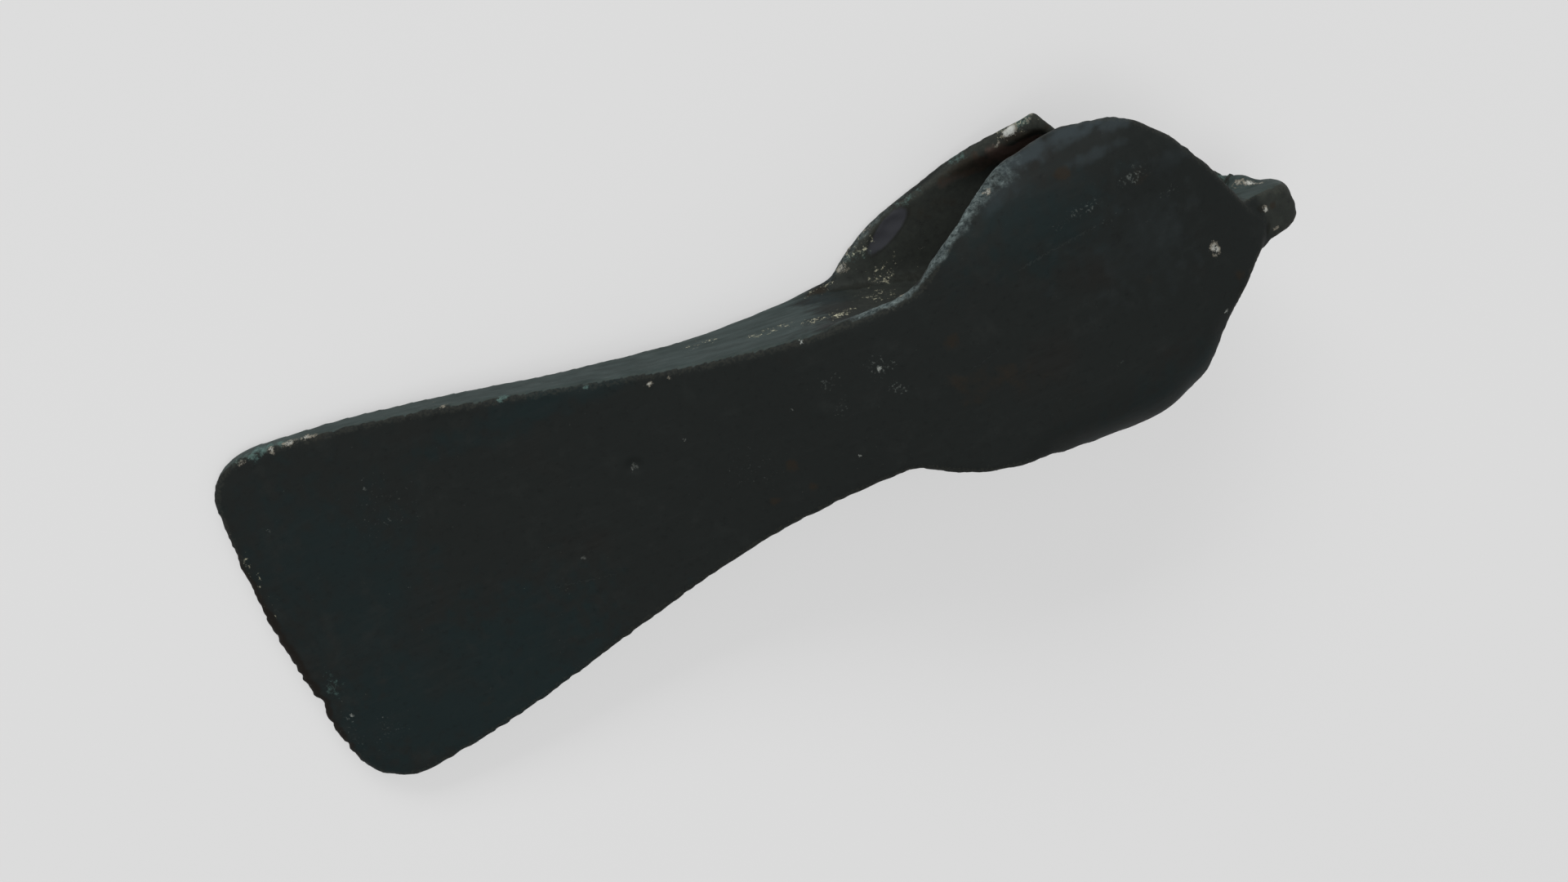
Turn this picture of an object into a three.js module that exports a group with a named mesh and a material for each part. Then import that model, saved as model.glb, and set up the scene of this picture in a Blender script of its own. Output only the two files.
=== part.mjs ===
// A bronze axe head of the transverse kind: its wings rise from the edges of the broad faces and
// fold over a channel in each narrow side, so that a forked haft holds the cutting edge across the
// haft, as on an adze. The whole head is one casting, so it is one closed solid.
//
// The solid is a loft. A section is drawn square to the axe's length at each station, and a station
// is a distance from the cutting edge towards the butt. In a section, y runs across the broad face
// and z through the thickness. Through the blade the section is a plain bar. From the waist on, the
// middle of each narrow side sinks to a channel floor while the four arrises rise into wings, which
// turns the bar into an H: a front flange, a back flange and the septum that joins them.
import * as THREE from 'three'

const { lerp, degToRad, smoothstep } = THREE.MathUtils

// Lengths along the axe, in millimetres: the stretches that follow each other from edge to butt
const bladeLength = 89
const channelRun = 37
const seatLength = 24
const leafRun = 13.4
const tipStep = 0.6
const stubLength = 5

// How far a form starts or ends behind the one before it
const waistSetback = 5
const wingSetback = 5
const wornWingSetback = 6
const crestSetback = 11.5
const bellyLead = 4
const frontFoldSetback = 8
const frontFoldRun = 23
const backFoldSetback = 13
const backFoldRun = 26

// The cutting edge and the blade
const edgeWidth = 62.6
const edgeThickness = 1.4
const edgeBulge = 1.8
const edgeSkew = 1.2
const bevelLength = 2.4
const bevelThickness = 3
const upperCornerRadius = 8
const lowerCornerRadius = 9.5
const cornerReach = 24
const faceCrown = 0.5

// The waist, the wings and the channels between them
const waistWidth = 26.2
const waistThickness = 20.4
const bellyThickness = 26.6
const upperWingHeight = 25.4
const lowerWingHeight = 24
const brokenWingHeight = 19.5
const breakLength = 4
const flangeThickness = 4.4
const rimThickness = 2.7
const foldRadius = 10.4
const foldAngle = degToRad(72)
const septumHeight = 10
const rootFillet = 2.2
const arrisRadius = 1

// The butt stub, which is the septum's end and drops a little towards the lower side. The flanges end
// on it in pointed leaf tips, which stand a little proud of it.
const stubHeight = 8
const stubThickness = 7
const stubDrop = 2.2
const stubCrown = 0.3
const buttHeight = 5
const buttThickness = 3.4
const tipHeight = 1
const tipProud = 0.8
const tipTrace = 0.04

// How each form runs between its two ends: the share of the way along, and of the change made there
const bladeFlareShares = [
  [0, 1], [0.12, 0.92], [0.3, 0.765], [0.51, 0.495], [0.72, 0.22], [0.88, 0.06], [1, 0],
]
const bladeSwellShares = [[0, 0], [0.28, 0.1], [0.5, 0.22], [0.72, 0.43], [0.9, 0.77], [1, 1]]
const bellySwellShares = [[0, 0], [0.35, 0.5], [0.7, 0.92], [1, 1]]
const buttTaperShares = [[0, 1], [0.35, 0.94], [0.6, 0.76], [0.8, 0.46], [1, 0]]
const floorSinkShares = [[0, 0], [0.2, 0.1], [0.5, 0.48], [0.8, 0.9], [1, 1]]
const wingRiseShares = [[0, 0], [0.12, 0.21], [0.24, 0.4], [0.49, 0.62], [0.77, 0.9], [1, 1]]
const lowerRiseShares = [[0, 0], [0.12, 0.22], [0.24, 0.42], [0.49, 0.66], [0.77, 0.95], [1, 1]]
const wornRiseShares = [[0, 0], [0.1, 0.03], [0.32, 0.41], [0.57, 0.76], [0.74, 0.92], [1, 1]]
const upperFallShares = [
  [0, 1], [0.3, 0.96], [0.57, 0.75], [0.76, 0.46], [0.89, 0.17], [0.96, 0.05], [1, 0],
]
const lowerFallShares = [
  [0, 1], [0.31, 0.86], [0.58, 0.52], [0.81, 0.24], [0.9, 0.15], [0.96, 0.08], [1, 0],
]
const brokenFallShares = [
  [0, 1], [0.36, 0.86], [0.71, 0.54], [0.89, 0.33], [0.98, 0.22], [1, 0],
]
const stubRoundShares = [[0, 0], [0.45, 0.14], [0.8, 0.5], [1, 1]]

// How finely the loft is drawn
const bladeSteps = 16
const channelSteps = 17
const crestSteps = 5
const breakSteps = 2
const leafSteps = 13
const stubSteps = 5
const faceSteps = 8
const wallSteps = 4

const quarterTurn = Math.PI / 2
const edgeHalfWidth = edgeWidth / 2
const waistHalfWidth = waistWidth / 2
const bellyHalfThickness = bellyThickness / 2
const stubHalfHeight = stubHeight / 2
const stubHalfThickness = stubThickness / 2
const edgeHalfThickness = edgeThickness / 2
const tightShare = 0.3
const arrisShare = 0.6
const middleShare = 0.5
const crowdingPower = 1.5

const channelStation = bladeLength
const waistStation = channelStation + waistSetback
const wingStation = waistStation + wingSetback
const wornWingStation = wingStation + wornWingSetback
const seatStation = channelStation + channelRun
const bellyStation = seatStation - bellyLead
const crestStation = seatStation + crestSetback
const breakStation = crestStation + breakLength
const seatEndStation = seatStation + seatLength
const leafEndStation = seatEndStation + leafRun
const stubStation = leafEndStation + tipStep
const length = stubStation + stubLength

// Places a table of shares between two points, each a station and a size there.
function between([fromStation, fromSize], [toStation, toSize], shares, rising = true) {
  const [low, high] = rising ? [fromSize, toSize] : [toSize, fromSize]
  return shares.map(([along, across]) => [lerp(fromStation, toStation, along), lerp(low, high, across)])
}

// A smooth curve through points with rising stations, which never swings past a point.
function curveThrough(points) {
  const slopes = points.slice(1).map(([x, y], i) => (y - points[i][1]) / (x - points[i][0]))
  const tangents = points.map((point, i) => {
    if (i === 0) return slopes[0]
    if (i === slopes.length) return slopes[i - 1]
    const [before, after] = [slopes[i - 1], slopes[i]]
    return before * after <= 0 ? 0 : (2 * before * after) / (before + after)
  })
  return (station) => {
    if (station <= points[0][0]) return points[0][1]
    const i = points.findIndex(([x]) => x > station) - 1
    if (i < 0) return points.at(-1)[1]
    const [x0, y0] = points[i]
    const [x1, y1] = points[i + 1]
    const width = x1 - x0
    const t = (station - x0) / width
    const pull = t * (1 - t) * width
    const bend = pull * ((1 - t) * (tangents[i] - slopes[i]) - t * (tangents[i + 1] - slopes[i]))
    return lerp(y0, y1, t) + bend
  }
}

// Joins stretches that share their end points into one list of points.
function joined(...stretches) {
  return stretches.flatMap((stretch, i) => (i === 0 ? stretch : stretch.slice(1)))
}

const halfThicknessAt = curveThrough(joined(
  [[0, edgeHalfThickness], [bevelLength, bevelThickness / 2]],
  between([bevelLength, bevelThickness / 2], [waistStation, waistThickness / 2], bladeSwellShares),
  between([waistStation, waistThickness / 2], [bellyStation, bellyHalfThickness], bellySwellShares),
  between(
    [bellyStation, bellyHalfThickness],
    [leafEndStation, stubHalfThickness + tipProud],
    buttTaperShares,
    false,
  ),
  [[leafEndStation, stubHalfThickness + tipProud], [stubStation, stubHalfThickness]],
  between([stubStation, stubHalfThickness], [length, buttThickness / 2], stubRoundShares),
))

const bladeFlare = between([0, edgeHalfWidth], [waistStation, waistHalfWidth], bladeFlareShares, false)
const bladeHalfWidthAt = curveThrough(bladeFlare)

// The channel floor, as a distance from the mid-plane: the narrow side itself up to the channel,
// then flat where the haft's prong lies, then the stub's top or bottom and its rounded end.
function floorCurve() {
  const seatHalf = septumHeight / 2
  return curveThrough(joined(
    bladeFlare.filter(([station]) => station < channelStation),
    [[channelStation, bladeHalfWidthAt(channelStation)]],
    between([channelStation, bladeHalfWidthAt(channelStation)], [seatStation, seatHalf], floorSinkShares),
    [[seatStation, seatHalf], [seatEndStation, seatHalf]],
    [[seatEndStation, seatHalf], [stubStation, stubHalfHeight]],
    between([stubStation, stubHalfHeight], [length, buttHeight / 2], stubRoundShares),
  ))
}

const floorAt = floorCurve()

// How far the section's middle drops towards the lower side at the butt.
const dropAt = curveThrough([[seatEndStation, 0], [stubStation, stubDrop], [length, stubDrop]])

// How deep the rim or the root of a flange lies under its outer face: the flange's own thickness, or
// at the leaf's end the low step down to the stub. Past that step a trace of the tip is left at the
// rim, and the stub's crown at the root.
function depthAt(station, thickness, rest) {
  const proud = tipProud * (1 - smoothstep(station, leafEndStation, stubStation))
  const onStub = smoothstep(station, seatEndStation, leafEndStation)
  return lerp(thickness * (halfThicknessAt(station) / bellyHalfThickness), proud + rest, onStub)
}

// The height of a wing's rim over the mid-plane, from the waist's arris up to the crest and down to
// the leaf's tip on the stub. A broken wing steps down just behind its crest.
function rimCurve({ start, rise, fall, height, broken }) {
  const tip = tipHeight / 2
  const descent = broken
    ? joined(
      [[crestStation, height], [breakStation, brokenWingHeight]],
      between([breakStation, brokenWingHeight], [leafEndStation, tip], brokenFallShares, false),
    )
    : between([crestStation, height], [leafEndStation, tip], fall, false)
  return curveThrough(joined(
    bladeFlare,
    [[waistStation, waistHalfWidth], [start, waistHalfWidth]],
    between([start, waistHalfWidth], [crestStation, height], rise),
    descent,
  ))
}

// How far a wing is folded over: not at its root, fully at the crest, and hardly at the leaf's end.
function foldCurve(setback, run) {
  const foldStation = wingStation + setback
  return (station) => {
    const folding = smoothstep(station, foldStation, foldStation + run)
    const opening = smoothstep(station, crestStation, leafEndStation)
    return foldAngle * folding * (1 - opening)
  }
}

function makeWing({ side, front, start = wingStation, rise = wingRiseShares, broken = false }) {
  const upper = side > 0
  const height = upper ? upperWingHeight : lowerWingHeight
  const fall = upper ? upperFallShares : lowerFallShares
  const rimAt = rimCurve({ start, rise, fall, height, broken })
  return {
    side,
    face: front ? 1 : -1,
    rimAt: (station) => (
      station < seatStation ? Math.max(rimAt(station), floorAt(station)) : rimAt(station)
    ),
    foldAt: front
      ? foldCurve(frontFoldSetback, frontFoldRun)
      : foldCurve(backFoldSetback, backFoldRun),
  }
}

const frontUpperWing = makeWing({ side: 1, front: true, start: wornWingStation, rise: wornRiseShares })
const backUpperWing = makeWing({ side: 1, front: false, broken: true })
const backLowerWing = makeWing({ side: -1, front: false, rise: lowerRiseShares })
const frontLowerWing = makeWing({ side: -1, front: true, rise: lowerRiseShares })

// The outer face of a flange in a section: straight from the mid-plane, then bent inwards in an arc
// to the rim. It gives the point that lies a distance along the face and a depth under it.
function outerFace(half, rim, floor, angle) {
  const radius = angle > 0 ? Math.min(foldRadius, Math.max(rim - floor, 0) / Math.sin(angle)) : 0
  const straight = rim - radius * Math.sin(angle)
  const reach = straight + radius * angle
  const crown = faceCrown * (half / bellyHalfThickness) * Math.min(reach / waistHalfWidth, 1)
  const pointAt = (distance, depth) => {
    const turn = radius > 0 ? Math.max(distance - straight, 0) / radius : 0
    const y = (turn > 0 ? straight : distance) + (radius - depth) * Math.sin(turn)
    const z = half - radius + (radius - depth) * Math.cos(turn)
    return new THREE.Vector3(0, y, z - crown * Math.min(distance / reach, 1) ** 2)
  }
  return { reach, pointAt }
}

// Rounds a corner with three points, the ends of the round and its middle.
function roundedCorner(from, corner, to) {
  const middle = new THREE.QuadraticBezierCurve3(from, corner, to).getPoint(middleShare)
  return [from, middle, to]
}

// A quarter of the section: over the outer face, round the rim, down the wall of the channel and
// across its floor to the middle. In the blade the wall has no height, and all that follows the
// arris lies on the flat narrow side. On the stub the leaf's rim ends below the stub's top, and the
// wall turns into the stub's own broad face beside the tip.
function quarterSection(station, wing) {
  const half = halfThicknessAt(station)
  const floor = floorAt(station)
  const rim = depthAt(station, rimThickness, tipTrace)
  const root = depthAt(station, flangeThickness, stubCrown)
  const { reach, pointAt } = outerFace(half, wing.rimAt(station), floor, wing.foldAt(station))
  const wallLength = Math.hypot(reach - floor, root - rim)
  const wallPoint = (share) => pointAt(lerp(reach, floor, share), lerp(rim, root, share))

  const arris = Math.min(arrisRadius, Math.min(rim, reach) * arrisShare)
  const lip = Math.min(arrisRadius, Math.min(rim, wallLength) * tightShare)
  const lipShare = lip / wallLength
  const floorEdge = pointAt(floor, root).z
  const fillet = Math.min(rootFillet, Math.min(wallLength, floor, floorEdge) * tightShare)
  const filletShare = fillet / wallLength
  const floorPoint = (z) => new THREE.Vector3(0, floor, z)

  const points = []
  for (let i = 0; i < faceSteps; i++) {
    points.push(pointAt((reach - arris) * Math.sin((quarterTurn * i) / faceSteps), 0))
  }
  points.push(...roundedCorner(pointAt(reach - arris, 0), pointAt(reach, 0), pointAt(reach, arris)))
  points.push(...roundedCorner(pointAt(reach, rim - lip), pointAt(reach, rim), wallPoint(lipShare)))
  for (let i = 1; i < wallSteps; i++) {
    points.push(wallPoint(lerp(lipShare, 1 - filletShare, i / wallSteps)))
  }
  const filletEnd = floorPoint(floorEdge - fillet)
  points.push(...roundedCorner(wallPoint(1 - filletShare), floorPoint(floorEdge), filletEnd))
  points.push(floorPoint(filletEnd.z / 2), floorPoint(0))
  return points
}

// How far back the cutting edge lies at a share of the way from the blade's middle to its corner.
function edgeSetback(share) {
  const radius = share > 0 ? upperCornerRadius : lowerCornerRadius
  const intoCorner = Math.max(Math.abs(share) * edgeHalfWidth - (edgeHalfWidth - radius), 0)
  const corner = radius - Math.sqrt(Math.max(radius ** 2 - intoCorner ** 2, 0))
  return edgeBulge * share ** 2 + edgeSkew * Math.max(share, 0) + corner
}

// Turns a quarter's points to the wing's side and face. The first sections bend to the cutting edge,
// and the blade's outline at the place where a point then lies draws it in.
function placeQuarter(station, wing) {
  const fade = Math.max(1 - station / cornerReach, 0)
  return quarterSection(station, wing).map(({ y, z }) => {
    const across = wing.side * y - dropAt(station)
    const x = station + fade * edgeSetback(across / bladeHalfWidthAt(station))
    const drawn = bladeHalfWidthAt(x) / bladeHalfWidthAt(station)
    return new THREE.Vector3(x, across * drawn, wing.face * z)
  })
}

// One ring of the loft. Each quarter runs from the middle of a broad face to the middle of a floor.
function ring(station) {
  const frontUpper = placeQuarter(station, frontUpperWing)
  const backUpper = placeQuarter(station, backUpperWing).reverse()
  const backLower = placeQuarter(station, backLowerWing)
  const frontLower = placeQuarter(station, frontLowerWing).reverse()
  return [frontUpper, backUpper, backLower, frontLower].flatMap((quarter) => quarter.slice(0, -1))
}

function evenStations(from, to, steps) {
  return Array.from({ length: steps }, (_, i) => lerp(from, to, i / steps))
}

// Stations stand closer together near the cutting edge, at the leaf tips and at the rounded butt.
function loftStations() {
  const blade = evenStations(0, 1, bladeSteps).map((share) => channelStation * share ** crowdingPower)
  const leaf = evenStations(1, 0, leafSteps).map((share) => share ** crowdingPower)
  const stub = evenStations(0, 1, stubSteps).map((share) => Math.sin(quarterTurn * share))
  return [
    ...blade,
    ...evenStations(channelStation, seatStation, channelSteps),
    ...evenStations(seatStation, crestStation, crestSteps),
    ...evenStations(crestStation, breakStation, breakSteps),
    ...leaf.map((share) => lerp(leafEndStation, breakStation, share)),
    leafEndStation,
    ...stub.map((share) => lerp(stubStation, length, share)),
    length,
  ]
}

function quadIndices(a, b, c, d) {
  return [a, b, c, a, c, d]
}

// The skin between neighbouring rings.
function skinIndices(ringCount, ringSize) {
  const indices = []
  for (let r = 0; r < ringCount - 1; r++) {
    for (let i = 0; i < ringSize; i++) {
      const next = (i + 1) % ringSize
      const [here, there] = [r * ringSize, (r + 1) * ringSize]
      indices.push(...quadIndices(here + i, there + i, there + next, here + next))
    }
  }
  return indices
}

// An end cap, in strips across the thickness because the cutting edge's end isn't flat. Past the last
// strip a fan takes in the points that lie in one line along the narrow side.
function capIndices(first, ringSize, outwards) {
  const indices = []
  const point = (i) => first + (i % ringSize)
  const halfCap = (start, end) => {
    for (let i = 0; i < faceSteps; i++) {
      const [near, far] = [start + i, end - i]
      indices.push(...quadIndices(point(near), point(near + 1), point(far - 1), point(far)))
    }
    const hub = start + faceSteps
    for (let i = hub + 1; i < end - faceSteps; i++) {
      indices.push(point(hub), point(i), point(i + 1))
    }
  }
  halfCap(0, ringSize / 2)
  halfCap(ringSize / 2, ringSize)
  return outwards ? indices.reverse() : indices
}

function loftGeometry(stations) {
  const rings = stations.map(ring)
  const ringSize = rings[0].length
  const last = (rings.length - 1) * ringSize
  const indices = [
    ...skinIndices(rings.length, ringSize),
    ...capIndices(0, ringSize, false),
    ...capIndices(last, ringSize, true),
  ]
  const geometry = new THREE.BufferGeometry().setFromPoints(rings.flat())
  geometry.setIndex(indices)
  return geometry
}

// Bronze under a smooth, nearly black green patina.
function patinatedBronze() {
  return new THREE.MeshStandardMaterial({ color: 0x2b3331, roughness: 0.55, metalness: 0.35 })
}

// The slope at which the head lies on a table, touching it with the bevel and the belly.
function restAngle(stations) {
  const slopes = stations
    .filter((station) => station > waistStation)
    .map((station) => (halfThicknessAt(station) - bevelThickness / 2) / (station - bevelLength))
  return Math.atan(Math.max(...slopes))
}

// Lays the head on the table, with the middle of its box over the origin.
function layDown(head, stations) {
  head.rotation.y = -restAngle(stations)
  const group = new THREE.Group()
  group.add(head)
  const box = new THREE.Box3().setFromObject(group, true)
  const middle = box.getCenter(new THREE.Vector3())
  group.position.set(-middle.x, -middle.y, -box.min.z)
  return group
}

const stations = loftStations()
const axeHead = new THREE.Mesh(loftGeometry(stations), patinatedBronze())
axeHead.name = 'axe_head'
const group = layDown(axeHead, stations)

export default group
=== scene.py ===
"""An ancient bronze axe head under a nearly black patina, lying on a pale table."""

import math

import bmesh
import bpy
from mathutils import Matrix, Vector, noise


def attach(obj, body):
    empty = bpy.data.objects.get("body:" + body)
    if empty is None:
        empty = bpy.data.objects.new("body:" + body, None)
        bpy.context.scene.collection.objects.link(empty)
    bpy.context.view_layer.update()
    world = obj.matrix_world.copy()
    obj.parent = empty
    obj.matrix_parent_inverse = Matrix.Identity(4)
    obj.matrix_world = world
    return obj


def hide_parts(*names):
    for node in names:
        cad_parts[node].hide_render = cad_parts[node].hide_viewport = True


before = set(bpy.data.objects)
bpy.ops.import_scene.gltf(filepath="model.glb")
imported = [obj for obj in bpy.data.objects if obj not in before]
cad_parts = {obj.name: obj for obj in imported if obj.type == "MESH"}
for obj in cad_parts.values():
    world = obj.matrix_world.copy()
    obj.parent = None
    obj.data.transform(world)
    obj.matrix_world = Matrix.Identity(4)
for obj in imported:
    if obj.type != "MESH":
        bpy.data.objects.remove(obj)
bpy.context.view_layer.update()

MM = 0.001

# Places on the axe are written in its own axes, in millimetres: x from the cutting edge to the butt,
# y across the broad face, z through the thickness. It lies on its back, touching the table with the
# bevel and the belly, so these axes are a little turned against the table's.
REST_SLOPE = math.radians(5.9548)
EDGE_PLACE = Vector((-84.096, -0.014, 1.243))
PLACE = Matrix.Translation(EDGE_PLACE * MM) @ Matrix.Rotation(-REST_SLOPE, 4, "Y")
TO_AXE = PLACE.inverted()

# How the solid becomes one smooth skin, in millimetres. Its mesh is as fine as it can be with fewer
# than 200,000 triangles.
WELD = 0.001
QUAD_BEND, QUAD_SKEW = math.radians(50), math.radians(70)
SKIN_LEVELS = 2
FIT_ROUNDS, FIT_SHARE = 3, 0.8
SKIN_MESH = 0.52
STAND_ROUNDS = 12

# Unevenness, as waves: their height and width in millimetres, and a seed. The skin also gains a
# little all over, crust is lifted, and the rims on the back are less uneven than those in front.
SKIN_GAIN = 0.05
SKIN_WAVES = [(0.13, 14, 1), (0.05, 4.5, 2)]
RIM_WAVES = [(0.2, 3.2, 6), (0.1, 1.1, 8)]
BACK_RIM_UNEVEN = 0.35
CRUST_LIFT = 0.1
CRUST_WAVES = [(0.16, 1.1, 9)]
VERDIGRIS_WAVES = [(0.08, 1.4, 4)]

# The same for borders that wander, where the height is a share of the border's own measure.
BORDER_WAVES = [(0.5, 1.7, 3), (0.3, 0.8, 5)]
SIDE_WAVES = [(0.1, 3.5, 11), (0.06, 1.3, 12)]

# Nicks in the cutting edge: their width, two seeds, their depth, and how much deeper they are in the
# lower half, which is also worn back as a whole.
NICKS = [(2.1, (0.3, 7), 0.4, 0.8), (0.9, (4.2, 0), 0.35, 0)]
LOWER_WEAR = 0.1

# Ramps, from where something begins to where it is full. First those that follow a place, in
# millimetres.
NICKED_EDGE = (8, 0.5)
BETWEEN_CORNERS = (31, 27)
LOWER_HALF = (6, -6)
EDGE_BAND = (2.4, 0.4)
STANDING_OUT = (0.03, 0.16)
RIM_START = (97, 102)
FRONT_RIM_END = (137, 122)
BACK_RIM_END = (122, 106)
BLADE_SIDE_END = (106, 85)
STUB_SIDE = (159, 163)
CHANNEL_MOUTH = (92, 106)
CHANNEL_FLOOR = (13.5, 12.5)
STUB_FACE = (162.5, 164.5)

# Then those that follow how squarely a face looks one way, and how far a place lies from a middle, as
# a share of the reach. A patch is nowhere past its limit.
RIM_FACING = (0.2, 0.6)
SIDE_FACING = (0.66, 0.9)
FLOOR_FACING = (0.6, 0.9)
INWARD_FACING = (0.1, 0.6)
PATCH_BORDER = (1.5, 0.1)
PATCH_LIMIT = 2.2
DENT_WALL = (1.0, 0.5)
LUMP_SLOPE = (1.0, 0.0)

# How far the borders of the edge's band and of the sides wander, in millimetres, and how strong the
# back rim's wear and the lighter colour of the hollows are, which never reach 1. That colour is partly
# painted light.
EDGE_WANDER = 0.9
SIDE_WANDER = 30
BACK_RIM_WORN = 0.6
FLOOR_HOLLOW = 0.7
STUB_HOLLOW = 0.75

# The worn rims, pale along their edge: stations, heights and the band's width. One is on the upper
# front wing, from FRONT_HEIGHT up, and one on the broken back wing. The band's border wanders by a
# share of its width, but no farther than a limit, and only its core is worn all over.
WORN_STATIONS = (97, 141)
FRONT_HEIGHT = 2
BAND_WANDER, WANDER_LIMIT = 0.5, 1
BAND_CORE = 0.1
FRONT_RIM = [(99, 13.1), (106, 13.2), (108.6, 13.6), (111, 15.2), (115.1, 17.7), (118.6, 19.8),
             (121.6, 21.4), (126, 23.4), (131, 24.6), (137, 25.3)]
FRONT_WIDTH = [(99, 0.5), (104, 0.6), (110, 0.9), (115, 1.5), (121, 2.3), (128, 3.2), (136, 3)]
BACK_RIM = [(99, 13.2), (102.1, 14.7), (104.3, 16.1), (106.4, 17.3), (108.6, 18.2), (115.1, 20),
            (121.6, 21.8), (126, 23.2), (137.3, 25.2)]
BACK_WIDTH = [(99, 1.2), (140, 2)]

# Patches of each kind: the middle, the reach along x, y and z, and how thick the patch lies there.
# First the cream crust of hard deposits, with a painted highlight and glints on the stub among them.
CRUST_AND_GLINTS = [
    ((19.4, 28.6, 1.6), (1.7, 0.7, 0.9), 0.88),
    ((17.0, 28.8, 1.6), (2.0, 0.7, 1.0), 0.85),
    ((13.9, 29.2, 1.7), (1.1, 1.0, 0.8), 0.95),
    ((9.2, 29.1, 1.5), (1.5, 0.9, 0.7), 0.75),
    ((68.2, 15.3, 5.1), (1.2, 0.6, 0.6), 1.0),
    ((71.4, 15.1, 5.5), (0.8, 0.5, 0.5), 0.75),
    ((38.0, 24.7, 0.0), (1.0, 0.5, 0.7), 0.7),
    ((39.5, 24.3, 2.4), (0.9, 0.5, 0.6), 0.75),
    ((102.3, 14.3, -8.7), (1.7, 1.4, 1.4), 0.8),
    ((104.3, 16.3, -10.1), (2.0, 1.2, 1.0), 0.72),
    ((107.8, 18.1, -10.3), (2.6, 1.0, 1.0), 0.66),
    ((133.5, 24.1, -5.9), (1.9, 1.0, 1.3), 1.05),
    ((131.1, 22.9, -6.5), (1.3, 0.6, 0.7), 0.8),
    ((136.9, 25.0, -4.9), (1.8, 1.0, 1.2), 0.62),
    ((153.4, -0.9, 9.1), (1.1, 1.8, 1.0), 0.9),
    # The next five are not crust: a painted highlight along the stub's top, and two painted glints on
    # the stub.
    ((162.8, 2.2, -1.9), (1.3, 1.8, 0.8), 0.8),
    ((164.4, 2.0, -1.1), (1.6, 1.8, 0.7), 0.95),
    ((165.9, 1.8, -0.4), (1.2, 1.6, 0.6), 0.85),
    ((163.9, -0.8, 3.6), (0.8, 0.8, 0.7), 1.1),
    ((164.6, -4.5, 3.1), (1.2, 0.6, 0.7), 0.75),
    ((124.7, 22.0, 8.9), (1.2, 0.8, 1.0), 0.85),
    ((107.4, 13.4, 9.9), (1.3, 0.6, 1.0), 0.75),
    ((133.0, -23.0, 6.5), (4.0, 1.6, 2.0), 0.7),
    ((30.0, -24.0, -2.0), (2.2, 1.6, 1.2), 0.7),
]

# Loose crumbs of the same deposit
CRUMBS = [
    ((77.7, 15.1, -2.1), (4.0, 1.2, 2.2), 0.6),
    ((88.0, 13.4, 1.2), (5.0, 1.6, 1.8), 0.75),
    ((94.4, 13.0, 3.0), (4.2, 1.4, 1.8), 0.8),
    ((99.3, 12.4, 3.2), (4.2, 1.8, 2.4), 0.8),
    ((105.5, 10.4, -2.3), (5.0, 3.0, 4.0), 0.7),
    ((108.1, 11.4, -7.3), (5.0, 3.0, 3.4), 0.7),
    ((113.5, 10.4, -6.4), (4.0, 3.0, 3.5), 0.65),
    ((98.5, 13.5, -7.5), (4.5, 1.6, 1.6), 0.75),
    ((104.5, 16.2, -9.6), (5.5, 1.8, 1.6), 0.75),
    ((97.0, -12.6, 0.0), (9.0, 1.8, 4.0), 0.75),
    ((108.0, -10.5, 5.5), (6.5, 3.0, 3.0), 0.7),
    ((72.0, -4.0, -5.8), (4.0, 4.0, 1.2), 0.6),
    ((128.0, 8.0, -13.0), (6.0, 5.0, 1.5), 0.6),
    ((2.0, 12.0, 1.0), (1.4, 12.0, 1.0), 0.5),
    ((135.0, 24.3, -6.5), (6.0, 1.8, 2.4), 0.85),
]

# Grey dust, strewn thinly
DUST = [
    ((100.1, 4.9, 11.2), (2.8, 2.6, 1.4), 0.7),
    ((92.3, 5.4, 9.8), (2.8, 2.2, 1.4), 0.75),
    ((101.7, 0.8, 11.4), (2.2, 1.8, 1.2), 0.7),
    ((92.9, 0.9, 10.0), (2.6, 2.4, 1.2), 0.5),
    ((104.0, 13.0, 11.0), (2.2, 1.0, 1.4), 0.8),
    ((136.5, 14.6, 12.6), (4.2, 1.5, 1.4), 0.72),
    ((144.5, 15.6, 11.5), (5.0, 1.7, 1.4), 0.72),
    ((150.0, 10.9, 10.2), (3.0, 1.0, 1.2), 0.6),
    ((131.8, 14.0, 13.0), (2.2, 1.1, 1.2), 0.62),
    ((139.5, 11.5, 12.6), (4.0, 1.1, 1.2), 0.62),
    ((133.7, -9.8, 12.9), (2.2, 1.4, 1.2), 0.6),
    ((77.0, -3.0, 6.5), (8.0, 6.0, 1.5), 0.45),
    ((8.0, -20.0, 1.7), (4.6, 5.0, 1.0), 0.5),
    ((24.0, 14.0, 2.3), (10.0, 9.0, 1.2), 0.4),
    ((3.0, -17.0, 1.4), (1.8, 8.0, 1.0), 0.5),
    ((87.0, 14.0, 0.5), (9.0, 2.0, 5.0), 0.45),
    ((60.0, -3.0, -5.0), (16.0, 9.0, 2.0), 0.45),
    ((120.0, 2.0, -13.0), (14.0, 9.0, 2.0), 0.45),
]

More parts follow.
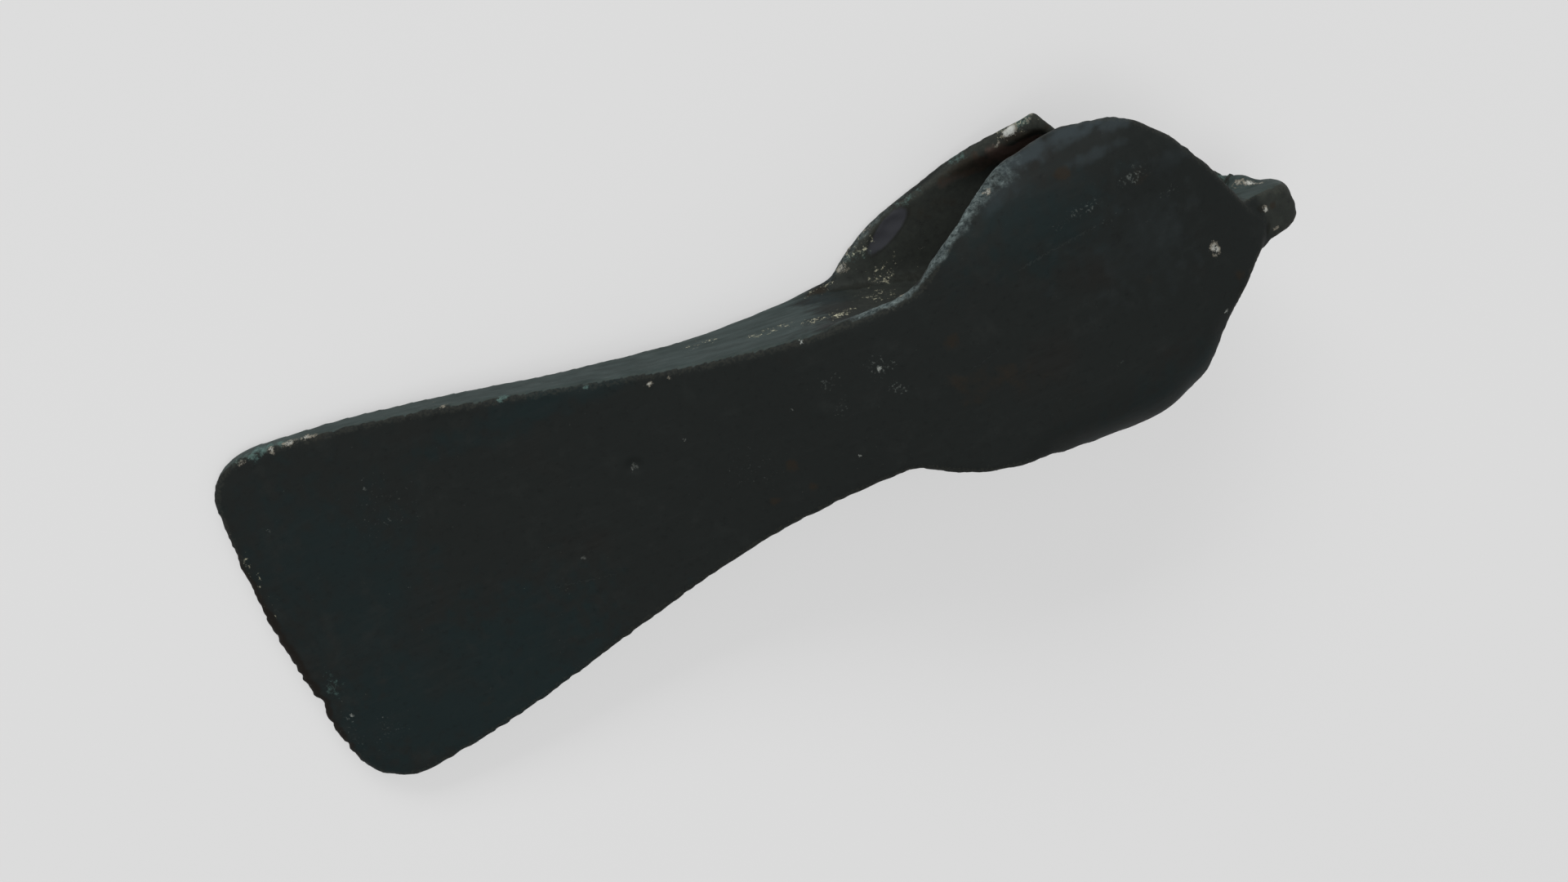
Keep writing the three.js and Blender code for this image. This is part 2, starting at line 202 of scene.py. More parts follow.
# Green verdigris, in grains
VERDIGRIS = [
    ((47.6, 22.1, 2.9), (1.8, 0.6, 0.8), 0.95),
    ((59.7, 18.6, 4.2), (0.8, 0.4, 0.5), 0.9),
    ((3.7, -9.8, 1.5), (1.7, 3.4, 0.8), 0.5),
    ((12.6, 29.4, 1.0), (6.0, 1.2, 1.5), 0.75),
    ((103.5, 15.2, -9.4), (5.0, 2.0, 1.6), 0.5),
    ((114.7, 20.0, -10.4), (6.0, 1.2, 1.4), 0.55),
    ((124.0, 22.6, -9.8), (7.0, 1.3, 1.7), 0.62),
    ((134.5, 24.8, -6.0), (5.0, 1.2, 1.8), 0.75),
    ((161.5, 3.6, -3.8), (3.2, 1.5, 1.8), 0.85),
    ((118.0, -21.0, -8.0), (9.0, 1.6, 2.0), 0.7),
    ((22.0, -28.0, 0.0), (7.0, 1.0, 1.6), 0.6),
    ((60.0, 2.0, -4.5), (5.0, 4.0, 1.2), 0.5),
    ((8.0, 12.0, -1.4), (3.0, 6.0, 0.9), 0.5),
]

# Thin films and stains of the skin itself, teal and brown, then a painted sheen, and reddish earth
# that is partly painted light
TEAL = [
    ((22.0, -19.0, 1.5), (30.0, 16.0, 6.0), 1.0),
    ((14.0, 6.0, 1.5), (16.0, 24.0, 6.0), 0.7),
    ((55.0, 19.0, 4.0), (40.0, 3.5, 3.0), 0.75),
    ((100.0, 12.0, -5.0), (6.0, 4.0, 4.0), 0.9),
    ((128.0, 15.0, 12.0), (14.0, 8.0, 4.0), 0.7),
    ((140.0, -17.0, 8.0), (22.0, 6.0, 6.0), 0.6),
    ((120.0, 0.0, -13.0), (18.0, 14.0, 4.0), 0.7),
]
BROWN = [
    ((135.4, 20.4, 11.1), (1.7, 1.5, 1.5), 0.95),
    ((146.1, 15.0, 11.1), (2.4, 1.5, 1.3), 0.65),
    ((111.2, 4.6, 12.8), (1.5, 1.3, 1.0), 0.65),
    ((141.9, 0.1, 12.1), (1.3, 1.1, 1.0), 0.65),
    ((113.0, -4.1, 13.0), (8.0, 5.0, 1.4), 0.5),
    ((119.7, -6.6, 13.2), (5.0, 4.0, 1.4), 0.45),
    ((155.8, -6.8, 8.1), (1.3, 1.3, 1.0), 0.75),
    ((151.5, -14.8, 7.5), (1.8, 1.2, 1.6), 0.6),
    ((82.4, -5.2, 7.7), (1.6, 1.4, 1.0), 0.8),
    ((84.1, -9.7, 7.9), (1.1, 1.0, 0.9), 0.65),
    ((78.1, -9.9, 6.8), (1.4, 1.0, 0.9), 0.65),
    ((51.0, -4.4, 3.6), (1.7, 1.0, 0.9), 0.5),
    ((97.1, 12.9, -7.5), (2.4, 1.2, 1.6), 0.8),
    ((126.0, 20.4, -8.4), (10.0, 2.2, 2.2), 0.85),
    ((135.3, 22.9, -5.4), (5.5, 1.1, 1.6), 1.1),
    ((115.2, 17.0, -9.6), (8.0, 2.2, 1.5), 0.6),
    ((165.4, -0.9, 3.3), (0.8, 0.7, 0.7), 0.95),
    ((17.5, 28.0, 1.9), (7.0, 1.4, 0.9), 0.35),
    ((23.4, -22.9, 2.2), (2.6, 1.6, 0.9), 0.45),
    ((118.0, -20.0, 7.0), (6.0, 3.0, 2.4), 0.6),
    ((108.0, -6.0, -12.0), (9.0, 5.0, 1.6), 0.5),
]
# A painted sheen: pale patches that stand in for the soft shine along the crest of the upper front
# wing and on the front face near the butt.
PAINTED_SHEEN = [
    ((126.0, 21.0, 9.5), (6.0, 3.0, 3.0), 0.5),
    ((132.0, 24.2, 7.3), (8.0, 2.0, 2.8), 0.95),
    ((139.5, 24.4, 7.3), (8.0, 1.8, 2.6), 0.95),
    ((146.0, 23.2, 7.6), (6.0, 1.6, 2.2), 0.7),
    ((141.0, 20.9, 10.4), (7.0, 1.2, 1.6), 0.6),
    ((151.0, 15.0, 9.0), (7.0, 2.6, 4.0), 0.4),
    ((143.0, 6.0, 11.5), (18.0, 13.0, 4.0), 0.35),
]
# Reddish earth. The first two patches lie inside the broken back wing and are made paler than the
# earth there, as painted light that lifts the shade in that hollow.
EARTH_AND_PAINTED_LIGHT = [
    ((133.5, 20.4, -7.0), (8.0, 2.6, 2.4), 1.0),
    ((124.0, 19.8, -9.3), (7.0, 1.3, 1.6), 0.45),
    ((134.0, -20.0, 4.0), (9.0, 4.0, 5.0), 0.6),
    ((134.0, -20.0, -4.0), (9.0, 4.0, 5.0), 0.6),
]

# What the skin keeps as attributes, for the material
PATCHES = {"crust_and_glints": CRUST_AND_GLINTS, "crumbs": CRUMBS, "dust": DUST, "teal": TEAL, "painted_sheen": PAINTED_SHEEN,
           "earth_and_painted_light": EARTH_AND_PAINTED_LIGHT, "verdigris": VERDIGRIS, "brown": BROWN}
LAYERS = (*PATCHES, "worn", "side", "hollow", "edge", "ridge")

# A smooth oval scar inside the broken back wing: its middle, its reach and its turn
SCAR_MIDDLE = (110.8, 16.6, -9.5)
SCAR_REACH = (4.6, 1.6, 2.4)
SCAR_TURN = math.radians(28)

# Lumps: the middle, the reach along x, y and z, and the shift. Three even out the notch between
# the stub and the tip of the back flange, and one makes the broken corner sharper.
LUMPS = [
    ((163.6, 2.4, -3.6), (3.4, 4.0, 3.4), (0, 1.7, 0)),
    ((162.4, 3.8, -4.7), (1.5, 2.5, 2.5), (0, -0.7, 0)),
    ((163.7, 1.4, -3.0), (2.0, 2.5, 3.0), (0, 0.5, 0)),
    ((138.0, 25.2, -5.2), (2.0, 1.8, 2.0), (0.1, 0.5, 0)),
]

# Dents: the middle, the reach along x, y and z, and the depth.
DENTS = [
    ((109.5, 15.8, -9.3), (2.2, 1.3, 1.6), 0.25),
    ((112.0, 17.3, -9.6), (2.2, 1.2, 1.6), 0.25),
    ((60.9, 4.0, 4.4), (1.6, 1.4, 1.0), 0.4),
    ((47.7, -6.7, 3.4), (0.9, 0.9, 1.0), 0.16),
]

# Single pale specks on the front face, with their radius and how pale they are, and thin scratches
# with their half-width. Both have a core that is pale all over, and borders that stray.
SPECKS = [
    ((60.9, 3.8, 4.4), 0.9, 0.28),
    ((47.7, -6.7, 3.4), 0.6, 0.25),
    ((91.3, 12.8, 9.1), 0.36, 0.6),
    ((92.5, -7.4, 9.8), 0.26, 0.5),
    ((69.6, 5.0, 5.4), 0.32, 0.35),
    ((86.0, 3.4, 8.5), 0.32, 0.35),
    ((22.0, 0.5, 2.2), 0.45, 0.2),
    ((7.5, 17.9, 1.7), 0.55, 0.25),
    ((152.0, -11.0, 9.1), 0.34, 0.5),
    ((100.2, 4.7, 11.2), 0.55, 0.5),
    ((4.2, -15.5, 1.6), 0.4, 0.4),
    ((23.4, 17.7, 2.2), 0.45, 0.2),
]
SCRATCHES = [
    ((123.5, 10.5, 13.2), (131.5, 11.3, 13.0), 0.17),
    ((130.5, 11.3, 13.0), (137.3, 11.5, 12.6), 0.14),
    ((112.0, -1.0, 12.9), (118.0, 0.6, 13.2), 0.1),
    ((40.0, -9.0, 2.9), (52.0, -11.5, 3.6), 0.1),
]
SPECK_CORE = 0.5
SCRATCH_CORE = 0.3
RAGGED = 1.4
DEPTH_SHARE = 0.2

# How much rougher the dull places are, how evenly the paper is shown, and how strongly the world
# lights the axe
DULL_GAIN = 0.3
EVEN_SHARE = 0.65
WORLD_LIGHT = 0.4

# The camera, in the axe's own axes and in millimetres
CAMERA_AIM = Vector((82.96, -4.25, 0))
CAMERA_DISTANCE = 319.4
CAMERA_TILT = math.radians(23)
CAMERA_ROLL = math.radians(24.5)
VIEW_ANGLE = math.radians(24)


def select_only(piece):
    bpy.ops.object.select_all(action="DESELECT")
    piece.select_set(True)
    bpy.context.view_layer.objects.active = piece


def apply_modifier(piece, kind, **settings):
    select_only(piece)
    modifier = piece.modifiers.new(kind.title(), kind)
    for name, value in settings.items():
        setattr(modifier, name, value)
    bpy.ops.object.modifier_apply(modifier=modifier.name)


def fit_subdivision(piece):
    """Moves the corners outwards, so that the subdivided skin passes through where they were and the
    thin rims don't shrink."""
    corners = [v.co.copy() for v in piece.data.vertices]
    modifier = piece.modifiers.new("Trial", "SUBSURF")
    modifier.levels = SKIN_LEVELS
    for _ in range(FIT_ROUNDS):
        shown = piece.evaluated_get(bpy.context.evaluated_depsgraph_get()).data
        for vertex, corner, smooth in zip(piece.data.vertices, corners, shown.vertices):
            vertex.co += FIT_SHARE * (corner - smooth.co)
        piece.data.update()
    piece.modifiers.remove(modifier)


def copy_casting():
    """The casting's shape, taken over from the solid and made one smooth, evenly meshed skin."""
    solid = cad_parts["axe_head"]
    casting = solid.copy()
    casting.data = solid.data.copy()
    casting.name = casting.data.name = "patinated_casting"
    casting.parent = None
    casting.data.materials.clear()
    bpy.context.scene.collection.objects.link(casting)
    select_only(casting)
    bpy.ops.mesh.customdata_custom_splitnormals_clear()
    bpy.ops.object.mode_set(mode="EDIT")
    bpy.ops.mesh.select_all(action="SELECT")
    bpy.ops.mesh.remove_doubles(threshold=WELD * MM)
    bpy.ops.mesh.tris_convert_to_quads(face_threshold=QUAD_BEND, shape_threshold=QUAD_SKEW)
    bpy.ops.object.mode_set(mode="OBJECT")
    fit_subdivision(casting)
    apply_modifier(casting, "SUBSURF", levels=SKIN_LEVELS, render_levels=SKIN_LEVELS)
    apply_modifier(casting, "REMESH", mode="VOXEL", voxel_size=SKIN_MESH * MM)
    apply_modifier(casting, "SMOOTH", factor=0.5, iterations=2)
    return casting


def smooth_step(low, high, value):
    """A soft ramp, which is 0 at low and 1 at high. It runs down where low is the greater."""
    share = min(max((value - low) / (high - low), 0.0), 1.0)
    return share * share * (3 - 2 * share)


def rough(place, size, seed):
    """Noise between about -1 and 1, whose lumps are size millimetres wide. Each seed gives its own."""
    return noise.noise(place / size + Vector((seed, seed * 1.7, -seed)))


def waves(place, table):
    """The waves of a table, added up at a place."""
    return sum(height * rough(place, width, seed) for height, width, seed in table)


def along(table, station):
    """A value read from a table of stations and values."""
    if station <= table[0][0]:
        return table[0][1]
    for (x0, y0), (x1, y1) in zip(table, table[1:]):
        if station <= x1:
            return y0 + (y1 - y0) * (station - x0) / (x1 - x0)
    return table[-1][1]


def distance_in(place, middle, reach):
    """How far a place lies from a middle, as a share of the reach."""
    return math.hypot(*((p - m) / r for p, m, r in zip(place, middle, reach)))


def patch_amount(place, patches, wander):
    """How much of a kind of patch lies at a place, from 0 to about 1; its border wanders."""
    most = 0.0
    for middle, reach, strength in patches:
        distance = distance_in(place, middle, reach)
        if distance < PATCH_LIMIT:
            most = max(most, strength * smooth_step(*PATCH_BORDER, distance + wander))
    return most


def nick_depth(y):
    """How far the cutting edge is nicked back at a place across the blade: small bites, which are
    deeper in the lower half, with fine crumbling between them."""
    lower = smooth_step(*LOWER_HALF, y)
    depth = LOWER_WEAR * lower
    for width, seeds, bite, lower_bite in NICKS:
        depth += abs(noise.noise(Vector((y / width, *seeds)))) * (bite + lower_bite * lower)
    return depth * smooth_step(*BETWEEN_CORNERS, abs(y))


def worn_amount(place, normal, wander):
    """How worn the skin is along the rims of the two upper wings."""
    first, last = WORN_STATIONS
    if not first < place.x < last:
        return 0.0
    front = place.z > FRONT_HEIGHT
    width = along(FRONT_WIDTH if front else BACK_WIDTH, place.x)
    below = along(FRONT_RIM if front else BACK_RIM, place.x) - place.y
    below += wander * min(BAND_WANDER * width, WANDER_LIMIT)
    band = smooth_step(width, BAND_CORE * width, below) * smooth_step(*RIM_START, place.x)
    if front:
        return band * smooth_step(*FRONT_RIM_END, place.x)
    return (BACK_RIM_WORN * band * smooth_step(*RIM_FACING, normal.y)
            * smooth_step(*BACK_RIM_END, place.x))


def side_amount(place, normal):
    """How much a place belongs to the paler narrow sides, on the blade, at the mouths of the channels
    and on the stub. Their border wanders."""
    wander = waves(place, SIDE_WAVES)
    facing = smooth_step(*SIDE_FACING, abs(normal.y) + wander)
    blade = smooth_step(*BLADE_SIDE_END, place.x + SIDE_WANDER * wander)
    return facing * max(blade, smooth_step(*STUB_SIDE, place.x))


def hollow_amount(place, normal):
    """How much a place lies in the channels, on the inner faces of the wings or on the floor. The stub
    is a little like them."""
    inner = smooth_step(*INWARD_FACING, -normal.z if place.z > 0 else normal.z)
    floor = smooth_step(*FLOOR_FACING, abs(normal.y)) * smooth_step(*CHANNEL_FLOOR, abs(place.y))
    channel = max(inner, FLOOR_HOLLOW * floor) * smooth_step(*CHANNEL_MOUTH, place.x)
    return max(channel, STUB_HOLLOW * smooth_step(*STUB_FACE, place.x))


def sharpness_of(mesh):
    """For each vertex, how far it stands out of the smoothed surface, in millimetres."""
    shape = bmesh.new()
    shape.from_mesh(mesh)
    start = [v.co.copy() for v in shape.verts]
    for _ in range(STAND_ROUNDS):
        bmesh.ops.smooth_vert(shape, verts=shape.verts, factor=0.5,
                              use_axis_x=True, use_axis_y=True, use_axis_z=True)
    stands = [(a - v.co).dot(n.normal) / MM for a, v, n in zip(start, shape.verts, mesh.vertices)]
    shape.free()
    return stands


def age_surface(casting):
    """Wears the casting: nicks, uneven rims, soft waves, dents and lumps of crust. Attributes keep how
    much of each kind of patina, and of the painted sheen, highlights, light and shade, lies at a
    place, for the material."""
    mesh = casting.data
    layers = {name: [] for name in LAYERS}
    moved = []
    for vertex, stand in zip(mesh.vertices, sharpness_of(mesh)):
        place = (TO_AXE @ vertex.co) / MM
        normal = TO_AXE.to_3x3() @ vertex.normal
        ridge = smooth_step(*STANDING_OUT, stand)
        wander = waves(place, BORDER_WAVES)
        amounts = {name: patch_amount(place, patches, wander) for name, patches in PATCHES.items()}
        amounts["worn"] = worn_amount(place, normal, wander)
        amounts["side"] = side_amount(place, normal)
        amounts["hollow"] = hollow_amount(place, normal)
        amounts["edge"] = smooth_step(*EDGE_BAND, place.x + EDGE_WANDER * wander)
        amounts["ridge"] = ridge - smooth_step(*STANDING_OUT, -stand)
        for name in LAYERS:
            layers[name].append(amounts[name])

        push = SKIN_GAIN + waves(place, SKIN_WAVES)
        push += ridge * (1 if place.z > 0 else BACK_RIM_UNEVEN) * waves(place, RIM_WAVES)
        push += amounts["crust_and_glints"] * (CRUST_LIFT + waves(place, CRUST_WAVES))
        push += amounts["verdigris"] * waves(place, VERDIGRIS_WAVES)
        for middle, reach, depth in DENTS:
            push -= depth * smooth_step(*DENT_WALL, distance_in(place, middle, reach))
        shift = normal * push
        for middle, reach, pull in LUMPS:
            shift += Vector(pull) * smooth_step(*LUMP_SLOPE, distance_in(place, middle, reach))
        shift.x += nick_depth(place.y) * smooth_step(*NICKED_EDGE, place.x)
        lying = PLACE @ ((place + shift) * MM)
        lying.z = max(lying.z, 0)  # nothing sinks into the table
        moved.append(lying)

    for vertex, place in zip(mesh.vertices, moved):
        vertex.co = place
    for name, values in layers.items():
        attribute = mesh.attributes.new(name, "FLOAT", "POINT")
        attribute.data.foreach_set("value", values)
    mesh.update()


# Colours and finishes

# The sockets of a Mix node that mixes two colours
FACTOR, UNDER, OVER = 0, 6, 7


def hex_colour(code):
    """An sRGB hex colour as the linear colour that the shaders take."""
    parts = [int(code[i:i + 2], 16) / 255 for i in (1, 3, 5)]
    return [p / 12.92 if p <= 0.04045 else ((p + 0.055) / 1.055) ** 2.4 for p in parts] + [1.0]


def new_material(name):
    material = bpy.data.materials.new(name)
    material.use_nodes = True
    material.node_tree.nodes.clear()
    return material


def add_node(material, kind, inputs=(), **settings):
    """Adds a node with its settings. An input is a value, a socket, or a node whose first output it
    takes."""
    made = material.node_tree.nodes.new("ShaderNode" + kind)
    for name, value in settings.items():
        setattr(made, name, value)
    for socket, value in dict(inputs).items():
        if isinstance(value, bpy.types.Node):
            value = next(output for output in value.outputs if output.enabled)
        if isinstance(value, bpy.types.NodeSocket):
            material.node_tree.links.new(value, made.inputs[socket])
        else:
            made.inputs[socket].default_value = value
    return made


def marks_on_face(material, on_axe, stray):
    """Where the single specks and the scratches lie. Depth counts little, so that they stay on the
    skin where it is uneven, and stray grain makes their borders ragged."""
    flat = Vector((1, 1, DEPTH_SHARE))
    ragged = Vector((RAGGED, RAGGED, 0))
    strayed = add_node(material, "VectorMath", {0: stray, 1: ragged * MM, 2: on_axe},
                       operation="MULTIPLY_ADD")
    on_face = add_node(material, "Mapping", {"Vector": strayed, "Scale": flat})

    def distance_to(place):
        target = (Vector(place) + ragged / 2) * flat * MM
        between = add_node(material, "VectorMath", {0: on_face, 1: target}, operation="DISTANCE")
        return between.outputs["Value"]

    specks = 0.0
    for place, radius, paleness in SPECKS:
        speck = add_node(material, "MapRange", {
            "Value": distance_to(place), "From Min": radius * MM,
            "From Max": SPECK_CORE * radius * MM, "To Max": paleness})
        specks = add_node(material, "Math", {0: speck, 1: specks}, operation="MAXIMUM")
    # A place on the line between two ends lies no farther from both than they lie apart.
    scratches = 0.0
    for start, end, half_width in SCRATCHES:
        length = ((Vector(end) - Vector(start)) * flat).length
        detour = 2 * half_width ** 2 / length
        way = add_node(material, "Math", {0: distance_to(start), 1: distance_to(end)},
                       operation="ADD")
        line = add_node(material, "MapRange", {
            "Value": way, "From Min": (length + detour) * MM,
            "From Max": (length + SCRATCH_CORE * detour) * MM})
        scratches = add_node(material, "Math", {0: line, 1: scratches}, operation="MAXIMUM")
    return specks, scratches


def patinated_bronze():
    """Cast bronze, buried and then cleaned: a smooth mineral skin, nearly black, that shines softly
    like waxed stone. It has thin teal and brown clouds, pale worn rims and flecks of crust. Painted
    into its colour are a sheen along the front wing, a highlight and glints on the stub, light that
    lifts the shade in the hollows, and shade in the creases."""
    material = new_material("patinated cast bronze")
    own = add_node(material, "TexCoord").outputs["Object"]
    on_axe = add_node(material, "Mapping", {"Vector": own, "Location": TO_AXE.translation,
                                            "Rotation": (0, REST_SLOPE, 0)})
    # Strokes run along the axe, seven times as long as they are wide.
    lengthwise = add_node(material, "Mapping", {"Vector": on_axe, "Scale": (0.14, 1, 1)})

    # Noise of each kind: the axes it follows, how many millimetres its lumps measure, its detail and
    # its roughness. Real pores, grit and flecks are about 0.1 mm wide, too fine to show here, so they
    # are drawn as coarse as they need to show.
    kinds = {
        "clouds": (on_axe, 30, 4, 0.5),
        "drifts": (on_axe, 15, 4, 0.55),
        "mottles": (on_axe, 5, 5, 0.62),
        "pores": (on_axe, 1.0, 4, 0.65),
        "grit": (on_axe, 0.8, 4, 0.8),
        "flecks": (on_axe, 0.42, 2, 0.6),
        "strokes": (lengthwise, 1.1, 4, 0.6),
    }
    grain = {
        name: add_node(material, "TexNoise", {"Vector": axes, "Scale": 1 / (size * MM),
                                              "Detail": detail, "Roughness": roughness})
        for name, (axes, size, detail, roughness) in kinds.items()
    }
    layer = {
        name: add_node(material, "Attribute", attribute_name=name).outputs["Fac"]
        for name in LAYERS
    }
    specks, scratches = marks_on_face(material, on_axe, grain["flecks"].outputs["Color"])
    in_scar = add_node(material, "Mapping", {
        "Vector": on_axe, "Location": Vector(SCAR_MIDDLE) * MM, "Rotation": (0, 0, SCAR_TURN),
        "Scale": Vector(SCAR_REACH) * MM}, vector_type="TEXTURE")
    scar = add_node(material, "VectorMath", {0: in_scar}, operation="LENGTH").outputs["Value"]

    # Colours that vary: what they follow, from where to where, and the two colours between which
    # they change.
    changes = {
        "drawn green": (grain["strokes"], 0.15, 0.85, "#29312F", "#465150"),
        "rubbed grey": (grain["grit"], 0.4, 0.68, "#303839", "#768281"),
        # Lighter greys for the hollows: partly their patina, partly painted light that lifts their
        # shade
        "hollow grey and painted light": (grain["pores"], 0, 1, "#252625", "#3B3F3A"),
        # The pale cream also draws the painted highlight and glints on the stub.
        "cream_and_glint_white": (layer["crust_and_glints"], 0.7, 1.1, "#7B776C", "#CDD0CB"),
        "grainy green": (grain["flecks"], 0, 1, "#1E3330", "#7B9A94"),
    }
    varied = {}
    for name, (source, first, last, low, high) in changes.items():
        way = add_node(material, "MapRange", {"Value": source, "From Min": first, "From Max": last})
        varied[name] = add_node(material, "Mix", {
            FACTOR: way, UNDER: hex_colour(low), OVER: hex_colour(high)}, data_type="RGBA")

    # The skin is black, and the stains, with the painted sheen, highlights, light and shade, lie over
    # it in this order. Each has the amount that lies at a place, the grain that breaks it up and by
    # how much, where it begins and is full, how much it covers there, and its colour.
    colour_layers = {
        "teal film": (layer["teal"], grain["drifts"], 1.2, 0.7, 1.5, 0.85, "#1B2627"),
        "brown film": (grain["drifts"], None, 0, 0.54, 0.72, 0.35, "#231E1B"),
        "grey bloom": (grain["mottles"], None, 0, 0.5, 0.75, 0.4, "#292C2B"),
        "dark grain": (grain["pores"], None, 0, 0.48, 0.3, 0.2, "#131515"),
        "drawn strokes": (grain["strokes"], grain["drifts"], 0.6, 0.8, 1.05, 0.15, "#2B2E2D"),
        # Painted sheen along the crest of the front wing
        "painted sheen": (layer["painted_sheen"], grain["mottles"], 0.5, 0.4, 1.25, 0.8, "#363E41"),
        # The channels, the wings' inner faces and the stub's face are lighter than the skin: partly
        # their patina, partly painted light against their shade
        "hollow": (layer["hollow"], grain["mottles"], 0.9, 0.5, 1.3, 0.9, "hollow grey and painted light"),
        # Reddish earth, made pale inside the broken back wing as painted light in its shade
        "earth_and_painted_light": (layer["earth_and_painted_light"], grain["mottles"], 0.8, 0.6, 1.2, 0.85, "#63514A"),
        "narrow side": (layer["side"], grain["strokes"], 0.8, 0.75, 1.15, 0.9, "drawn green"),
        # Painted shade: darker where the skin lies in a crease
        "painted crease shade": (layer["ridge"], grain["pores"], 0.8, 0.1, -0.4, 0.5, "#1B1B16"),
        "rubbed ridge": (layer["ridge"], grain["flecks"], 2.2, 1.7, 2.4, 0.2, "#4A4A42"),
        "edge": (layer["edge"], grain["pores"], 0.8, 0.6, 1.2, 0.75, "#1D1814"),
        "brown": (layer["brown"], grain["mottles"], 1.4, 1.0, 1.5, 0.6, "#2F2820"),
        "worn": (layer["worn"], grain["pores"], 1.1, 0.75, 1.55, 0.9, "rubbed grey"),
        "scar's rim": (scar, grain["mottles"], 0.6, 1.6, 1.3, 0.4, "#1B1B1A"),
        "scar": (scar, grain["mottles"], 0.6, 1.35, 1.08, 0.85, "#3D3E43"),
        "verdigris": (layer["verdigris"], grain["grit"], 2.2, 1.5, 2.0, 0.6, "grainy green"),
        "dust": (layer["dust"], grain["flecks"], 2.6, 2.0, 2.7, 0.6, "#6E7470"),
        "crumbs": (layer["crumbs"], grain["grit"], 3.6, 2.6, 2.95, 0.95, "#B0AE97"),
        # Cream crust, and the painted highlight and glints on the stub in the same pale colour
        "crust_and_glints": (layer["crust_and_glints"], grain["grit"], 2.2, 1.65, 1.95, 1.0, "cream_and_glint_white"),
        "strewn flecks": (grain["flecks"], grain["clouds"], 0.5, 1.06, 1.14, 0.35, "#666A64"),
        "scratches": (scratches, grain["flecks"], 1.2, 0.9, 1.8, 0.16, "#4B504E"),
        "specks": (specks, grain["flecks"], 0.8, 0.55, 1.3, 1, "#A3A8A2"),
    }
    colour = hex_colour("#202322")
    cover = {}
    for name, (amount, breaking, breakup, begin, full, share, shade) in colour_layers.items():
        if breaking:
            amount = add_node(material, "Math", {0: breaking, 1: breakup, 2: amount},
                              operation="MULTIPLY_ADD")
        cover[name] = add_node(material, "MapRange", {
            "Value": amount, "From Min": begin, "From Max": full, "To Max": share},
            interpolation_type="SMOOTHSTEP")
        over_colour = varied[shade] if shade in varied else hex_colour(shade)
        colour = add_node(material, "Mix", {FACTOR: cover[name], UNDER: colour, OVER: over_colour},
                          data_type="RGBA")

    # What lies on the skin, or is rubbed off it, shines less.
    dull = 0.0
    for name in ("crust_and_glints", "crumbs", "verdigris", "dust", "worn", "brown"):
        dull = add_node(material, "Math", {0: cover[name], 1: dull}, operation="MAXIMUM")
    sheen = add_node(material, "MapRange", {
        "Value": grain["mottles"], "From Min": 0.3, "From Max": 0.7, "To Min": 0.5, "To Max": 0.64})
    roughness = add_node(material, "Math", {0: dull, 1: DULL_GAIN, 2: sheen},
                         operation="MULTIPLY_ADD")

    # The relief: soft lumps and pores of the cast skin, strokes along the axe, pits, what lies on
    # the skin, and the scratches.
    pits = add_node(material, "MapRange", {
        "Value": grain["pores"], "From Min": 0.36, "From Max": 0.28},
        interpolation_type="SMOOTHSTEP")
    heights = (
        (grain["mottles"], 0.5), (grain["pores"], 0.14), (grain["strokes"], 0.12), (pits, -0.3),
        (cover["crust_and_glints"], 0.4), (cover["crumbs"], 0.35), (cover["dust"], 0.2), (scratches, -0.4),
    )
    relief = 0.0
    for part, height in heights:
        relief = add_node(material, "Math", {0: part, 1: height, 2: relief},
                          operation="MULTIPLY_ADD")
    bump = add_node(material, "Bump", {"Strength": 0.5, "Distance": 0.25 * MM, "Height": relief})
    skin = add_node(material, "BsdfPrincipled", {
        "Base Color": colour, "Roughness": roughness, "Normal": bump, "Metallic": 0.0,
        "Specular IOR Level": 0.05})
    add_node(material, "OutputMaterial", {"Surface": skin})
    return material


def shown_rays(material):
    """1 where the camera or a reflection looks at a backdrop, and 0 where it only lights the axe."""
    path = add_node(material, "LightPath")
    seen = 0.0
    for ray in ("Is Camera Ray", "Is Glossy Ray", "Is Transmission Ray"):
        seen = add_node(material, "Math", {0: path.outputs[ray], 1: seen}, operation="MAXIMUM")
    return seen


def table_paper():
    """Matt photographer's paper, a plain pale grey. It is shown evenly lit, so that the axe's soft
    shadow stays faint."""
    material = new_material("matt paper")
    paper = add_node(material, "BsdfPrincipled", {
        "Base Color": hex_colour("#F2F2F2"), "Roughness": 0.9, "Specular IOR Level": 0.1})
    even = add_node(material, "Emission", {"Color": hex_colour("#DDDDDD"), "Strength": 1.0})
    share = add_node(material, "Math", {0: shown_rays(material), 1: EVEN_SHARE},
                     operation="MULTIPLY")
    shown = add_node(material, "MixShader", {0: share, 1: paper, 2: even})
    add_node(material, "OutputMaterial", {"Surface": shown})
    return material


casting = copy_casting()
age_surface(casting)
select_only(casting)
bpy.ops.object.shade_smooth()
casting.data.materials.append(patinated_bronze())
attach(casting, "root")
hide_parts("axe_head")

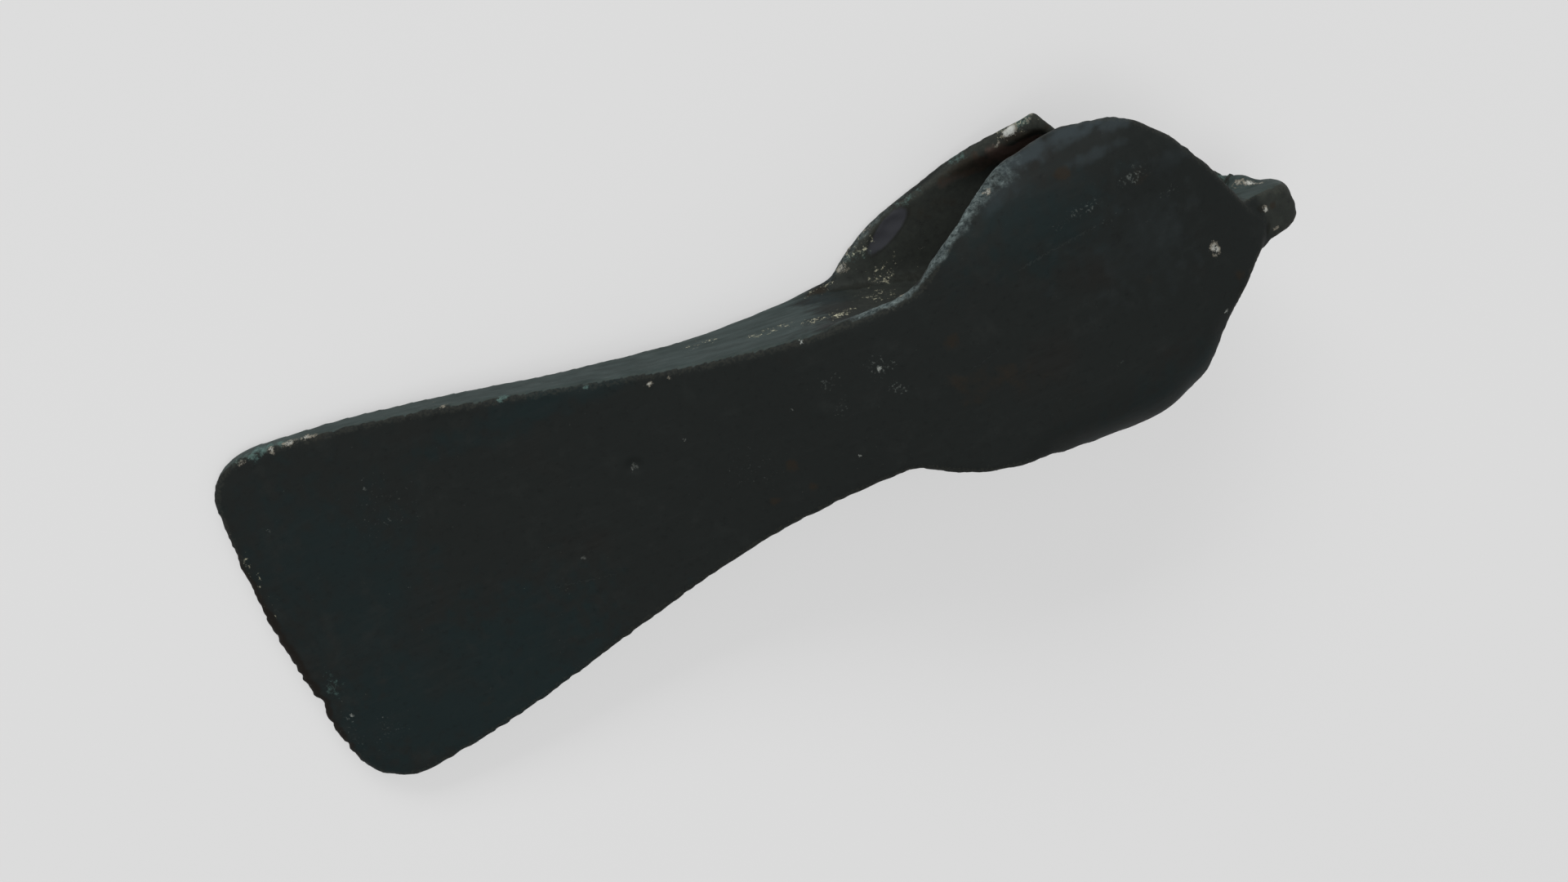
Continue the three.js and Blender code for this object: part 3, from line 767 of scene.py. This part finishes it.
# The table
bpy.ops.mesh.primitive_plane_add(size=8, location=(0, 0, 0))
table = bpy.context.object
table.name = "table"
table.data.materials.append(table_paper())


def add_lamp(name, place, size, power):
    """A soft rectangular lamp that is turned towards the axe."""
    light = bpy.data.lights.new(name, "AREA")
    light.shape = "RECTANGLE"
    light.size, light.size_y = size
    light.energy = power
    lamp = bpy.data.objects.new(name, light)
    lamp.location = place
    lamp.rotation_euler = Vector(place).to_track_quat("Z", "Y").to_euler()
    bpy.context.scene.collection.objects.link(lamp)


# Soft studio light: a low window far to the upper side, and a weak softbox overhead.
add_lamp("low window", place=(0.2, 2.7, 1.25), size=(2.4, 0.9), power=50)
add_lamp("overhead softbox", place=(-0.3, 0.2, 2.4), size=(1.8, 1.8), power=20)

# The world is shown as pale as the paper, and lights the axe less.
world = bpy.data.worlds.new("pale studio")
bpy.context.scene.world = world
world.use_nodes = True
world.node_tree.nodes.clear()
strength = add_node(world, "Math", {0: shown_rays(world), 1: 1 - WORLD_LIGHT, 2: WORLD_LIGHT},
                    operation="MULTIPLY_ADD")
around = add_node(world, "Background", {"Color": hex_colour("#DDDDDD"), "Strength": strength})
add_node(world, "OutputWorld", {"Surface": around})


def place_camera():
    """Looks down at the front broad face, a little from the upper narrow side, with the butt turned
    upwards."""
    back = Vector((0, math.sin(CAMERA_TILT), math.cos(CAMERA_TILT)))
    level = Vector((1, 0, 0))
    upright = back.cross(level)
    right = math.cos(CAMERA_ROLL) * level - math.sin(CAMERA_ROLL) * upright
    up = math.sin(CAMERA_ROLL) * level + math.cos(CAMERA_ROLL) * upright
    turn = Matrix((right, up, back)).transposed().to_4x4()
    data = bpy.data.cameras.new("camera")
    data.sensor_fit = "VERTICAL"
    data.angle_y = VIEW_ANGLE
    data.clip_start = 0.01
    camera = bpy.data.objects.new("camera", data)
    stand = Matrix.Translation((CAMERA_AIM + back * CAMERA_DISTANCE) * MM)
    camera.matrix_world = PLACE @ stand @ turn
    bpy.context.scene.collection.objects.link(camera)
    bpy.context.scene.camera = camera


place_camera()
bpy.context.scene.view_settings.view_transform = "Standard"
